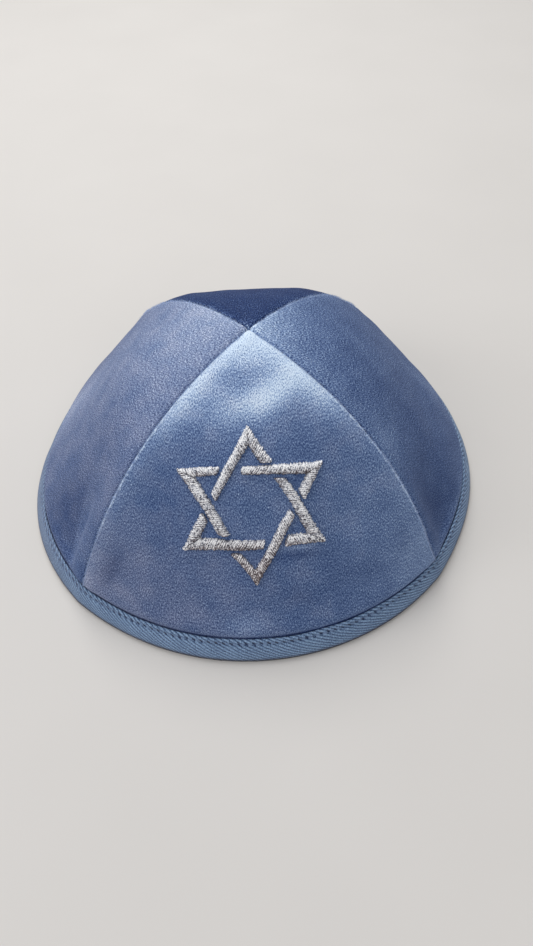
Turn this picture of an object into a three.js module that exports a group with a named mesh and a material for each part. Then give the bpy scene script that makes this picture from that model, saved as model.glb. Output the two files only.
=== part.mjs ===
// Kippah: a soft skullcap of four velvet panels with a taped rim and an embroidered six-pointed star.
// Millimetres, +Z up. The cap stands on its rim and the star faces -Y.
// The origin is the centre of the rim, on the surface that the cap stands on.

import * as THREE from 'three';
import { mergeVertices } from 'three/addons/utils/BufferGeometryUtils.js';

const { degToRad, lerp, smoothstep } = THREE.MathUtils;

// Crown
const RIM_RADIUS = 85;
const CROWN_HEIGHT = 68.6;
const CROWN_LEAN = new THREE.Vector2(1.5, -4.3);
const SHOULDER = { radius: 0.596 * RIM_RADIUS, level: 0.926 * CROWN_HEIGHT };
const SIDE = { radius: 0.846 * RIM_RADIUS, level: 0.454 * CROWN_HEIGHT };
const SQUARENESS = { rim: 0.05, crown: 0.46, fullAt: 0.65 * CROWN_HEIGHT };
const WALL = 1.5;
const GAP = 0.3;

// Rim binding: a tape folded round the edge of the panels
const BINDING_TOP = 7.8;
const BINDING_CLOTH = 0.7;
const BINDING_CHANNEL = 2.3;
const BINDING_BASE = 1;
const BINDING_EDGE = 0.5;
const PANEL_EDGE = BINDING_BASE + 0.4;
const TUCK_DEPTH = 1.25;
const TUCK_TOP = 12;
const LEVEL_INSET_TOP = 26;

// Embroidered star: six like strokes, each a long and a short leg that meet in one point
const STAR_LEVEL = 40.3;
const STAR_FORWARD = 51.7;
const STAR_SIDEWAYS = 0.4;
const STAR_TILT = degToRad(42.8);
const STAR_SPIN = degToRad(1);
const STAR_RADIUS = 25.3;
const STAR_SQUASH = 0.96;
const STROKE_WIDTH = 3.5;
const STROKE_GAP = 0.35;
const STROKE_RELIEF = [
  { across: 0.0, height: 0.35 },
  { across: 0.2, height: 0.95 },
  { across: 0.5, height: 1.2 },
  { across: 0.8, height: 0.95 },
  { across: 1.0, height: 0.35 },
];
const LONG_LEG_STEPS = 8;
const SHORT_LEG_STEPS = 4;

// Mesh steps
const PANEL_COLUMNS = 20;
const PANEL_ROWS = 16;
const TUCK_LEVELS = [10.6, 9.4, 8.4, PANEL_EDGE];
const SEAM_CROWDING = 0.6;
const BINDING_STEPS = 20;

// Azimuths in degrees, anticlockwise from +X seen from above
const PANELS = [
  { name: 'front_panel', from: -135, to: -42, colour: 0x5877a8 },
  { name: 'right_panel', from: -42, to: 51, colour: 0x3f5c92 },
  { name: 'back_panel', from: 51, to: 129, colour: 0x2c4379 },
  { name: 'left_panel', from: 129, to: 225, colour: 0x6b7ba3 },
];

// Dents beside a seam: distances run along the cloth from the seam, levels up from the rim
const DENTS = [
  { panel: 'left_panel', seam: 225, near: 6, deepest: 10, far: 28, fullBelow: 20, noneAbove: 40, depth: 2 },
  { panel: 'right_panel', seam: -42, near: 0, deepest: 11, far: 30, fullBelow: 18, noneAbove: 42, depth: 1.6 },
];

const STAR_POINTS = [
  { name: 'star_point_top', turn: 0 },
  { name: 'star_point_upper_right', turn: -60 },
  { name: 'star_point_lower_right', turn: -120 },
  { name: 'star_point_bottom', turn: 180 },
  { name: 'star_point_lower_left', turn: 120 },
  { name: 'star_point_upper_left', turn: 60 },
];

const SEAM_LINE = new THREE.CubicBezierCurve(
  new THREE.Vector2(0, CROWN_HEIGHT),
  new THREE.Vector2(SHOULDER.radius, SHOULDER.level),
  new THREE.Vector2(SIDE.radius, SIDE.level),
  new THREE.Vector2(RIM_RADIUS, 0),
);

// Halves a range until the place where a falling test turns is known to a millionth.
function bisect(low, high, isBelow) {
  let [a, b] = [low, high];
  while (b - a > 1e-6 * (high - low)) {
    const middle = (a + b) / 2;
    if (isBelow(middle)) {
      a = middle;
    } else {
      b = middle;
    }
  }
  return (a + b) / 2;
}

// How far down the seam line, from 0 at the top to 1 at the rim, a level lies.
function runAtLevel(level) {
  return bisect(0, 1, (run) => SEAM_LINE.getPoint(run).y > level);
}

// The panels are flatter than a circle between their seams, and most so near the top.
function squareFactor(panel, azimuth, level) {
  const half = degToRad(panel.to - panel.from) / 2;
  const fromMiddle = azimuth - degToRad(panel.to + panel.from) / 2;
  const amount = lerp(SQUARENESS.rim, SQUARENESS.crown, smoothstep(level, 0, SQUARENESS.fullAt));
  return 1 - amount + amount * Math.cos(half) / Math.cos(fromMiddle);
}

function meridian(panel, azimuth, run) {
  const point = SEAM_LINE.getPoint(run);
  point.x *= squareFactor(panel, azimuth, point.y);
  return point;
}

function dentDepth(panel, azimuth, point) {
  let depth = 0;
  for (const dent of DENTS) {
    if (dent.panel === panel.name) {
      const distance = point.x * Math.abs(azimuth - degToRad(dent.seam));
      const along = smoothstep(distance, dent.near, dent.deepest)
        * (1 - smoothstep(distance, dent.deepest, dent.far));
      const up = (1 - smoothstep(point.y, dent.fullBelow, dent.noneAbove))
        * smoothstep(point.y, BINDING_TOP, TUCK_TOP);
      depth += dent.depth * along * up;
    }
  }
  return depth;
}

// The way into the wall: square to the cloth at the crown, and level near the rim, with the depth kept.
function inward(panel, azimuth, run) {
  const step = 0.001;
  const tangent = meridian(panel, azimuth, Math.min(run + step, 1))
    .sub(meridian(panel, azimuth, Math.max(run - step, 0)));
  const out = new THREE.Vector2(-tangent.y * smoothstep(run, 0, 0.04), tangent.x).normalize();
  const lift = smoothstep(SEAM_LINE.getPoint(run).y, BINDING_TOP, LEVEL_INSET_TOP);
  const scale = out.x ** 2 + lift * out.y ** 2;
  return new THREE.Vector2(-out.x, -out.y * lift).divideScalar(scale);
}

function wallPoint(panel, azimuth, run, inset) {
  const point = meridian(panel, azimuth, run).addScaledVector(inward(panel, azimuth, run), inset);
  const radius = Math.max(point.x, 0);
  const lean = CROWN_LEAN.clone().multiplyScalar(point.y / CROWN_HEIGHT);
  return new THREE.Vector3(
    radius * Math.cos(azimuth) + lean.x,
    radius * Math.sin(azimuth) + lean.y,
    point.y,
  );
}

// A closed solid through a row of sections. Each section is a loop that runs along the outer side first
// and back along the inner side. A row that doesn't close on itself gets its two end faces.
function solidThrough(sections, isRing) {
  const count = sections[0].length;
  const faces = [];
  for (let s = 0; s < sections.length - (isRing ? 0 : 1); s += 1) {
    const here = s * count;
    const next = ((s + 1) % sections.length) * count;
    for (let k = 0; k < count; k += 1) {
      const after = (k + 1) % count;
      faces.push([here + k, here + after, next + after]);
      faces.push([here + k, next + after, next + k]);
    }
  }
  if (!isRing) {
    const last = (sections.length - 1) * count;
    for (let k = 0; k < count / 2 - 1; k += 1) {
      const back = count - 1 - k;
      faces.push([k, back - 1, k + 1], [k, back, back - 1]);
      faces.push([last + k, last + k + 1, last + back - 1], [last + k, last + back - 1, last + back]);
    }
  }
  const corners = sections.flat().flatMap((point) => point.toArray());
  const loose = new THREE.BufferGeometry();
  loose.setAttribute('position', new THREE.Float32BufferAttribute(corners, 3));
  loose.setIndex(faces.flat());
  const merged = mergeVertices(loose, 1e-4);
  const index = merged.getIndex().array;
  const kept = [];
  for (let k = 0; k < index.length; k += 3) {
    const [a, b, c] = index.slice(k, k + 3);
    if (a !== b && b !== c && c !== a) {
      kept.push(a, b, c);
    }
  }
  merged.setIndex(kept);
  merged.computeVertexNormals();
  return merged;
}

// Azimuths across a panel, closer together beside its seams where the cloth bends most.
function panelAzimuths(panel) {
  const azimuths = [];
  for (let k = 0; k <= PANEL_COLUMNS; k += 1) {
    const even = k / PANEL_COLUMNS;
    const crowded = (1 - Math.cos(Math.PI * even)) / 2;
    azimuths.push(degToRad(lerp(panel.from, panel.to, lerp(even, crowded, SEAM_CROWDING))));
  }
  return azimuths;
}

function panelRuns() {
  const lowest = runAtLevel(TUCK_TOP);
  const runs = [];
  for (let k = 0; k <= PANEL_ROWS; k += 1) {
    runs.push(lowest * k / PANEL_ROWS);
  }
  return runs.concat(TUCK_LEVELS.map(runAtLevel));
}

function panelGeometry(panel) {
  const runs = panelRuns();
  const sections = panelAzimuths(panel).map((azimuth) => {
    const insets = runs.map((run) => {
      const point = meridian(panel, azimuth, run);
      const tuck = TUCK_DEPTH * (1 - smoothstep(point.y, BINDING_TOP, TUCK_TOP));
      return tuck + dentDepth(panel, azimuth, point);
    });
    const outside = runs.map((run, k) => wallPoint(panel, azimuth, run, insets[k]));
    const inside = runs.map((run, k) => wallPoint(panel, azimuth, run, insets[k] + WALL));
    return outside.concat(inside.reverse());
  });
  return solidThrough(sections, false);
}

// The binding's section: a folded tape that holds the panels' edge between its two sides.
function bindingSection() {
  const innerSide = BINDING_CLOTH + BINDING_CHANNEL;
  const full = innerSide + BINDING_CLOTH;
  const soft = BINDING_EDGE / 2;
  return [
    { inset: soft, level: BINDING_TOP },
    { inset: 0, level: BINDING_TOP - BINDING_EDGE },
    { inset: 0, level: BINDING_TOP / 2 },
    { inset: 0, level: BINDING_EDGE },
    { inset: BINDING_EDGE, level: 0 },
    { inset: full - BINDING_EDGE, level: 0 },
    { inset: full, level: BINDING_EDGE },
    { inset: full, level: BINDING_TOP / 2 },
    { inset: full, level: BINDING_TOP - BINDING_EDGE },
    { inset: full - soft, level: BINDING_TOP },
    { inset: innerSide, level: BINDING_TOP },
    { inset: innerSide, level: BINDING_BASE },
    { inset: BINDING_CLOTH, level: BINDING_BASE },
    { inset: BINDING_CLOTH, level: BINDING_TOP },
  ];
}

function bindingGeometry() {
  const corners = bindingSection().map(({ inset, level }) => ({ inset, run: runAtLevel(level) }));
  const sections = PANELS.flatMap((panel) => {
    const steps = [...Array(BINDING_STEPS).keys()];
    return steps.map((k) => {
      const azimuth = degToRad(lerp(panel.from, panel.to, k / BINDING_STEPS));
      return corners.map(({ inset, run }) => wallPoint(panel, azimuth, run, inset));
    });
  });
  return solidThrough(sections, true);
}

// Puts a place on the star's own plane, given across and up it, on the cloth under it, and lifts it off.
function onCloth(panel, place, lift) {
  const normal = new THREE.Vector3(0, -Math.cos(STAR_TILT), Math.sin(STAR_TILT));
  const up = new THREE.Vector3(0, Math.sin(STAR_TILT), Math.cos(STAR_TILT));
  const start = new THREE.Vector3(STAR_SIDEWAYS + place.x, -STAR_FORWARD, STAR_LEVEL)
    .addScaledVector(up, place.y);
  const bearing = (point) => {
    const share = point.z / CROWN_HEIGHT;
    const flat = new THREE.Vector2(point.x - CROWN_LEAN.x * share, point.y - CROWN_LEAN.y * share);
    return { azimuth: Math.atan2(flat.y, flat.x), radius: flat.length(), run: runAtLevel(point.z) };
  };
  const reach = 8;
  const travel = bisect(-reach, reach, (distance) => {
    const { azimuth, radius, run } = bearing(start.clone().addScaledVector(normal, distance));
    return radius < meridian(panel, azimuth, run).x;
  });
  const { azimuth, run } = bearing(start.addScaledVector(normal, travel));
  return wallPoint(panel, azimuth, run, -lift);
}

// Where the lines at two distances from the star's centre, square to two directions, cross.
function crossing(direction1, distance1, direction2, distance2) {
  const [a, b] = [degToRad(direction1), degToRad(direction2)];
  const det = Math.sin(b - a);
  return new THREE.Vector2(
    (distance1 * Math.sin(b) - distance2 * Math.sin(a)) / det,
    (distance2 * Math.cos(a) - distance1 * Math.cos(b)) / det,
  );
}

function strokeGeometry(panel, turn) {
  const outer = STAR_RADIUS / 2;
  const inner = outer - STROKE_WIDTH;
  const ends = STROKE_RELIEF.map(({ across }) => {
    const line = outer - across * STROKE_WIDTH;
    return {
      long: crossing(150, line, 210, inner - STROKE_GAP),
      tip: crossing(150, line, 30, line),
      short: crossing(30, line, 90, outer + STROKE_GAP),
    };
  });
  const centre = new THREE.Vector2();
  const section = (from, to, share) => {
    const spots = ends.map((end) => end[from].clone().lerp(end[to], share)
      .rotateAround(centre, degToRad(turn))
      .multiply(new THREE.Vector2(1, STAR_SQUASH))
      .rotateAround(centre, STAR_SPIN));
    const top = spots.map((spot, k) => onCloth(panel, spot, GAP + STROKE_RELIEF[k].height));
    const bottom = spots.map((spot) => onCloth(panel, spot, GAP));
    return top.concat(bottom.reverse());
  };
  const sections = [];
  for (let k = 0; k < LONG_LEG_STEPS; k += 1) {
    sections.push(section('long', 'tip', k / LONG_LEG_STEPS));
  }
  for (let k = 0; k <= SHORT_LEG_STEPS; k += 1) {
    sections.push(section('tip', 'short', k / SHORT_LEG_STEPS));
  }
  return solidThrough(sections, false);
}

function velvet(colour) {
  return new THREE.MeshStandardMaterial({ color: colour, roughness: 0.85, metalness: 0 });
}

const tape = new THREE.MeshStandardMaterial({ color: 0x5a7ba6, roughness: 0.75, metalness: 0 });
const thread = new THREE.MeshStandardMaterial({ color: 0xd5d3cf, roughness: 0.45, metalness: 0.35 });

function named(name, geometry, material) {
  const mesh = new THREE.Mesh(geometry, material);
  mesh.name = name;
  return mesh;
}

// Each panel stands off its neighbours by half a gap at either seam, with what is sewn on it.
function panelGroup(panel) {
  const half = degToRad(panel.to - panel.from) / 2;
  const middle = degToRad(panel.to + panel.from) / 2;
  const stand = GAP / 2 / Math.sin(half);
  const group = new THREE.Group();
  group.position.set(stand * Math.cos(middle), stand * Math.sin(middle), 0);
  group.add(named(panel.name, panelGeometry(panel), velvet(panel.colour)));
  return group;
}

const kippah = new THREE.Group();
for (const panel of PANELS) {
  const group = panelGroup(panel);
  if (panel.name === 'front_panel') {
    for (const { name, turn } of STAR_POINTS) {
      group.add(named(name, strokeGeometry(panel, turn), thread));
    }
  }
  kippah.add(group);
}
kippah.add(named('rim_binding', bindingGeometry(), tape));

export default kippah;
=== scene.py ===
# Kippah: a soft skullcap of four velvet panels, a twill tape round its rim and an embroidered star.
# Shapes are worked out in millimetres and placed in metres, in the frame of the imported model.

import math
import random
from collections import namedtuple

import bmesh
import bpy
from mathutils import Matrix, Vector, noise


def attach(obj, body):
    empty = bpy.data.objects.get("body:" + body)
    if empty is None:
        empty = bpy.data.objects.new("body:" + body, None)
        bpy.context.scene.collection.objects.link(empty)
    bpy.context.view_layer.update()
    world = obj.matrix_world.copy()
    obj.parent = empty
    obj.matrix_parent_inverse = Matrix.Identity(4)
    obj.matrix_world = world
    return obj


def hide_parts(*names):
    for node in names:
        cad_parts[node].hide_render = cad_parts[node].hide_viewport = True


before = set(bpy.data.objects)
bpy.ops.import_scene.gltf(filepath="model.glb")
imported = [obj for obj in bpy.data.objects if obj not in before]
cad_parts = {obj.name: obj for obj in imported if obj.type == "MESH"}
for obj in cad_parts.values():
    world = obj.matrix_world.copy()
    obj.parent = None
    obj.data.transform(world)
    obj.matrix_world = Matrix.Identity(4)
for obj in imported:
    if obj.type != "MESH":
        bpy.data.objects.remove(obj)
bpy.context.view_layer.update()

MM = 0.001

# Crown, as in the CAD source
RIM_RADIUS = 85.0
CROWN_HEIGHT = 68.6
CROWN_LEAN = (1.5, -4.3)
SHOULDER = (0.596 * RIM_RADIUS, 0.926 * CROWN_HEIGHT)
SIDE = (0.846 * RIM_RADIUS, 0.454 * CROWN_HEIGHT)
SQUARENESS_RIM = 0.05
SQUARENESS_CROWN = 0.46
SQUARENESS_FULL_AT = 0.65 * CROWN_HEIGHT
WALL = 1.5
SEAM_GAP = 0.04
PANEL_EDGE = 1.4
TUCK_INSET = 0.85
TUCK_TOP = 12.0
PUFF = -0.15
LEVEL_INSET_TOP = 26.0

# Rim tape
TAPE_TOP = 7.8
TAPE_FULL = 3.7
STITCH_LEVEL = 6.7
STITCHES_ROUND = 212
STEPS_PER_STITCH = 5
RIM_LENGTH = 2 * math.pi * RIM_RADIUS
STITCH_PITCH = RIM_LENGTH / STITCHES_ROUND

# Star
STAR_LEVEL = 40.3
STAR_FORWARD = 51.7
STAR_SIDEWAYS = 0.4
STAR_TILT = math.radians(42.8)
STAR_SPIN = math.radians(1)
STAR_RADIUS = 25.3
STAR_SQUASH = 0.96
BAR_RELIEF = 1.0
STAR_FOOT = 22.0
STAR_NORMAL = Vector((0, -math.cos(STAR_TILT), math.sin(STAR_TILT)))
STAR_UP = Vector((0, math.sin(STAR_TILT), math.cos(STAR_TILT)))


def lerp(start, end, share):
    return start + (end - start) * share


def smoothstep(value, low, high):
    share = min(max((value - low) / (high - low), 0.0), 1.0)
    return share * share * (3 - 2 * share)


def hill(value, middle, width):
    return math.exp(-((value - middle) / width) ** 2)


# Where the real cloth lies further in than the even form, or, with a negative depth, further out:
# a bearing and its reach in degrees, then a level, its reach and the depth in millimetres
Ease = namedtuple("Ease", "bearing spread level height depth")
EASES = [
    Ease(-95, 32, 0, 12, -0.3),
    Ease(-150, 17, 0, 14, -0.5),
    Ease(-33, 18, 0, 14, 0.9),
    Ease(167, 18, 0, 22, 2.1),
    Ease(178, 26, 30, 15, 0.4),
    Ease(17, 18, 12, 14, 0.5),
    Ease(5, 24, 36, 14, 0.3),
    Ease(40, 8, 30, 12, -0.7),
    Ease(52, 6, 45, 12, 0.8),
    Ease(62, 7, 52, 10, -0.6),
    Ease(90, 14, 53, 12, 0.7),
    Ease(120, 6, 52, 10, -0.5),
    Ease(129, 6, 46, 10, 0.6),
]


def ease(azimuth, level):
    depth = 0.0
    for place in EASES:
        away = (math.degrees(azimuth) - place.bearing + 180) % 360 - 180
        depth += place.depth * hill(away, 0, place.spread) * hill(level, place.level, place.height)
    return depth


def seam_line(run):
    """A seam's radius and level, from the top of the crown at run 0 to the rim at run 1."""
    rest = 1 - run
    first, second, third = 3 * rest * rest * run, 3 * rest * run * run, run ** 3
    radius = first * SHOULDER[0] + second * SIDE[0] + third * RIM_RADIUS
    level = rest ** 3 * CROWN_HEIGHT + first * SHOULDER[1] + second * SIDE[1]
    return radius, level


def run_at_level(level):
    low, high = 0.0, 1.0
    for _ in range(30):
        middle = (low + high) / 2
        if seam_line(middle)[1] > level:
            low = middle
        else:
            high = middle
    return (low + high) / 2


class Panel:
    """One of the four panels, between two azimuths in degrees."""

    def __init__(self, name, start, end):
        self.name = name
        self.start = math.radians(start)
        self.end = math.radians(end)
        self.half = (self.end - self.start) / 2
        self.middle = (self.end + self.start) / 2
        stand = SEAM_GAP / 2 / math.sin(self.half)
        self.stand = Vector((math.cos(self.middle), math.sin(self.middle), 0)) * stand

    def meridian(self, azimuth, run):
        radius, level = seam_line(run)
        share = smoothstep(level, 0, SQUARENESS_FULL_AT)
        amount = lerp(SQUARENESS_RIM, SQUARENESS_CROWN, share)
        flat = math.cos(self.half) / math.cos(azimuth - self.middle)
        return radius * (1 - amount + amount * flat), level

    def inward(self, azimuth, run):
        after = self.meridian(azimuth, min(run + 0.001, 1))
        before = self.meridian(azimuth, max(run - 0.001, 0))
        out = Vector((
            (before[1] - after[1]) * smoothstep(run, 0, 0.04),
            after[0] - before[0],
        )).normalized()
        lift = smoothstep(seam_line(run)[1], TAPE_TOP, LEVEL_INSET_TOP)
        scale = out.x ** 2 + lift * out.y ** 2
        return -out.x / scale, -out.y * lift / scale

    def place(self, azimuth, run, *insets):
        """The points at some depths into the cloth, in millimetres."""
        radius, level = self.meridian(azimuth, run)
        across, down = self.inward(azimuth, run)
        eased = ease(azimuth, level)
        spots = []
        for inset in insets:
            inset += eased
            out = max(radius + across * inset, 0)
            height = level + down * inset
            share = height / CROWN_HEIGHT
            spots.append(Vector((
                out * math.cos(azimuth) + CROWN_LEAN[0] * share,
                out * math.sin(azimuth) + CROWN_LEAN[1] * share,
                height,
            )))
        return spots


PANELS = {
    "front": Panel("front", -135, -42),
    "right": Panel("right", -42, 51),
    "back": Panel("back", 51, 129),
    "left": Panel("left", 129, 225),
}


def panel_at(azimuth):
    for panel in PANELS.values():
        for turned in (azimuth, azimuth + 2 * math.pi, azimuth - 2 * math.pi):
            if panel.start - 1e-9 <= turned <= panel.end + 1e-9:
                return panel, turned
    raise ValueError("no panel at this azimuth")


# Mesh helpers

def finished_piece(name, slot, mesh, *materials, smooth=True):
    data = bpy.data.meshes.new(name)
    for face in mesh.faces:
        face.smooth = smooth
    mesh.to_mesh(data)
    mesh.free()
    for material in materials:
        data.materials.append(material)
    piece = bpy.data.objects.new(name, data)
    bpy.context.scene.collection.objects.link(piece)
    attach(piece, "root")
    return piece


def grid_mesh(columns, rows):
    """A flat grid with its corner at the origin and steps of one, which the makers then shape."""
    mesh = bmesh.new()
    mesh.loops.layers.uv.new("cloth")
    bmesh.ops.create_grid(mesh, x_segments=columns, y_segments=rows, size=0.5)
    bmesh.ops.translate(mesh, verts=mesh.verts, vec=(0.5, 0.5, 0))
    bmesh.ops.scale(mesh, verts=mesh.verts, vec=(columns, rows, 1))
    return mesh


def second_layer(mesh):
    """Lays a second layer on a grid, joined to it round the edge, and gives its points and faces."""
    made = bmesh.ops.extrude_face_region(mesh, geom=mesh.faces[:], use_keep_orig=True)
    points = {item for item in made["geom"] if isinstance(item, bmesh.types.BMVert)}
    faces = {item for item in made["geom"] if isinstance(item, bmesh.types.BMFace)}
    return points, faces


def write_uvs(mesh, uv_of):
    layer = mesh.loops.layers.uv["cloth"]
    for face in mesh.faces:
        for loop in face.loops:
            loop[layer].uv = uv_of[loop.vert]


def settle(mesh, uv_of, meets_itself=False):
    """Writes the UV map, closes a ring or a pole where the cloth meets itself, and turns the faces out."""
    write_uvs(mesh, uv_of)
    if meets_itself:
        bmesh.ops.remove_doubles(mesh, verts=mesh.verts, dist=1e-7)
    bmesh.ops.recalc_face_normals(mesh, faces=mesh.faces)


def ball(around, down):
    """A small round mesh, to be stamped as a stitch or flattened into a round of cloth."""
    stamp = bmesh.new()
    bmesh.ops.create_uvsphere(stamp, u_segments=around, v_segments=down, radius=1)
    return stamp


def stamped_mesh(stamp, count, shape, shade=None):
    """Copies of a small mesh, each point moved by shape(copy, point) and shaded by shade(copy, point)."""
    template = bpy.data.meshes.new("stamp")
    stamp.to_mesh(template)
    size = len(stamp.verts)
    stamp.free()
    mesh = bmesh.new()
    for _ in range(count):
        mesh.from_mesh(template)
    layer = mesh.verts.layers.float.new("shade") if shade else None
    for number, vert in enumerate(mesh.verts):
        point = vert.co.copy()
        if shade:
            vert[layer] = shade(number // size, point)
        vert.co = shape(number // size, point) * MM
    bpy.data.meshes.remove(template)
    bmesh.ops.recalc_face_normals(mesh, faces=mesh.faces)
    return mesh


# Shader maths

class Value:
    """A socket that adds Math nodes when it is used in an expression."""

    def __init__(self, shader, socket):
        self.shader = shader
        self.socket = socket

    def maths(self, operation, *others):
        inputs = dict(enumerate((self,) + others))
        return self.shader.node("ShaderNodeMath", {"operation": operation}, inputs).value(0)

    def reflected(self, operation, other):
        return self.shader.node("ShaderNodeMath", {"operation": operation}, {0: other, 1: self}).value(0)

    def __add__(self, other):
        return self.maths("ADD", other)

    def __radd__(self, other):
        return self.reflected("ADD", other)

    def __sub__(self, other):
        return self.maths("SUBTRACT", other)

    def __rsub__(self, other):
        return self.reflected("SUBTRACT", other)

    def __mul__(self, other):
        return self.maths("MULTIPLY", other)

    def __rmul__(self, other):
        return self.reflected("MULTIPLY", other)

    def __truediv__(self, other):
        return self.maths("DIVIDE", other)

    def __pow__(self, other):
        return self.maths("POWER", other)

    def ramp(self, low, high):
        """0 below low, 1 above high and smooth between them."""
        settings = {"interpolation_type": "SMOOTHSTEP"}
        inputs = {"Value": self, "From Min": low, "From Max": high}
        return self.shader.node("ShaderNodeMapRange", settings, inputs).value("Result")

    def hill(self, middle, width):
        """1 at the middle, and nearly nothing two widths away from it."""
        away = (self - middle) * (1 / width)
        return (away * away * -1).maths("EXPONENT")

    def clamped(self):
        return self.maths("MINIMUM", 1).maths("MAXIMUM", 0)


class Made:
    """A node that has been added, with its outputs at hand."""

    def __init__(self, shader, node):
        self.shader = shader
        self.node = node

    def out(self, key):
        return self.node.outputs[key]

    def value(self, key):
        return Value(self.shader, self.node.outputs[key])


class Shader:
    """A material under construction."""

    def __init__(self, name):
        self.material = bpy.data.materials.new(name)
        self.material.use_nodes = True
        self.tree = self.material.node_tree
        self.tree.nodes.clear()

    def node(self, kind, settings=None, inputs=None):
        node = self.tree.nodes.new(kind)
        for key, setting in (settings or {}).items():
            if key == "stops":
                self.set_stops(node.color_ramp, setting)
            else:
                setattr(node, key, setting)
        for key, value in (inputs or {}).items():
            if isinstance(value, Value):
                value = value.socket
            if isinstance(value, bpy.types.NodeSocket):
                self.tree.links.new(value, node.inputs[key])
            else:
                node.inputs[key].default_value = value
        return Made(self, node)

    def set_stops(self, ramp, stops):
        while len(ramp.elements) < len(stops):
            ramp.elements.new(1)
        for element, (position, colour) in zip(ramp.elements, stops):
            element.position = position
            element.color = colour

    def in_millimetres(self, vector):
        inputs = {0: vector, "Scale": 1 / MM}
        return self.node("ShaderNodeVectorMath", {"operation": "SCALE"}, inputs).out("Vector")

    def cloth_point(self):
        """The place on the cloth: across it and along it."""
        return self.in_millimetres(self.node("ShaderNodeUVMap", {"uv_map": "cloth"}).out("UV"))

    def object_point(self):
        return self.in_millimetres(self.node("ShaderNodeTexCoord").out("Object"))

    def split(self, vector):
        parts = self.node("ShaderNodeSeparateXYZ", {}, {"Vector": vector})
        return parts.value("X"), parts.value("Y"), parts.value("Z")

    def stretched(self, vector, stretch):
        settings = {"operation": "MULTIPLY"}
        return self.node("ShaderNodeVectorMath", settings, {0: vector, 1: stretch}).out("Vector")

    def speckle(self, vector, size, detail=2.0, roughness=0.5, distortion=0.0):
        """Noise with features about one size across, in the units of the vector."""
        inputs = {
            "Vector": vector,
            "Scale": 1 / size,
            "Detail": detail,
            "Roughness": roughness,
            "Distortion": distortion,
        }
        return self.node("ShaderNodeTexNoise", {}, inputs).value("Fac")

    def attribute(self, name):
        return self.node("ShaderNodeAttribute", {"attribute_name": name}).value("Fac")

    def colour_ramp(self, value, stops):
        return self.node("ShaderNodeValToRGB", {"stops": stops}, {"Fac": value}).out("Color")

    def mixed(self, factor, first, second):
        settings = {"data_type": "RGBA"}
        return self.node("ShaderNodeMix", settings, {0: factor, 6: first, 7: second}).out(2)

    def bump(self, height, distance, strength):
        inputs = {"Height": height, "Distance": distance, "Strength": strength}
        return self.node("ShaderNodeBump", {}, inputs).out("Normal")

    def finish(self, **inputs):
        """Ends in a Principled BSDF. Its inputs are given with _ for each space."""
        spaced = {key.replace("_", " "): value for key, value in inputs.items()}
        surface = self.node("ShaderNodeBsdfPrincipled", {}, spaced).out("BSDF")
        self.node("ShaderNodeOutputMaterial", {}, {"Surface": surface})
        return self.material


def screen_colour(red, green, blue):
    """A colour as it shows on a screen, from 0 to 255, as the shader's own numbers."""
    linear = []
    for part in (red, green, blue):
        share = part / 255
        if share <= 0.04045:
            linear.append(share / 12.92)
        else:
            linear.append(((share + 0.055) / 1.055) ** 2.4)
    return (*linear, 1.0)


def colour_stops(places, *colours):
    """The stops of a ramp, from places along it and the colours that show there on a screen."""
    return [(place, screen_colour(*colour)) for place, colour in zip(places, colours)]


# Velvet: the tone is painted light and shade of the pile, going from deep navy, looking into the pile, to pale
# steel where the pile turns light back
TONE_PLACES = (0.0, 0.2, 0.4, 0.6, 0.8, 1.0)
BLUE_TONES = colour_stops(
    TONE_PLACES,
    (10, 28, 68), (36, 60, 110), (72, 94, 136), (110, 134, 176), (160, 184, 218), (214, 232, 250),
)
GREY_TONES = colour_stops(
    TONE_PLACES,
    (26, 34, 58), (58, 68, 98), (92, 101, 132), (130, 140, 172), (176, 186, 212), (222, 230, 242),
)
# For each panel: its even tone and how that changes between two levels, both painted light and shade of its
# nap, how grey it is high up and low down and how that leans to one side, how bright the painted highlights on
# its two seam edges and the painted light or shade on the cloth beside them are, and its grain and sheen
Look = namedtuple("Look", "tone rise between grey lean seams beside grain sheen")
VELVET_LOOKS = {
    "front": Look(0.45, 0.01, (20, 68), (0.05, 0.22), 0.010, (0.98, 0.82), (0.10, 0.08), 0.76, 0.20),
    "right": Look(0.34, 0.06, (20, 68), (-0.2, -0.3), 0.0, (0.0, 0.50), (0.05, 0.05), 1.0, 0.10),
    "back": Look(0.32, -0.18, (28, 50), (-0.6, -0.3), 0.0, (0.18, 0.18), (0.0, 0.0), 1.25, 0.02),
    "left": Look(0.40, 0.14, (20, 68), (0.55, 0.62), 0.008, (0.55, 0.0), (0.05, -0.02), 0.92, 0.20),
}
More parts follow.
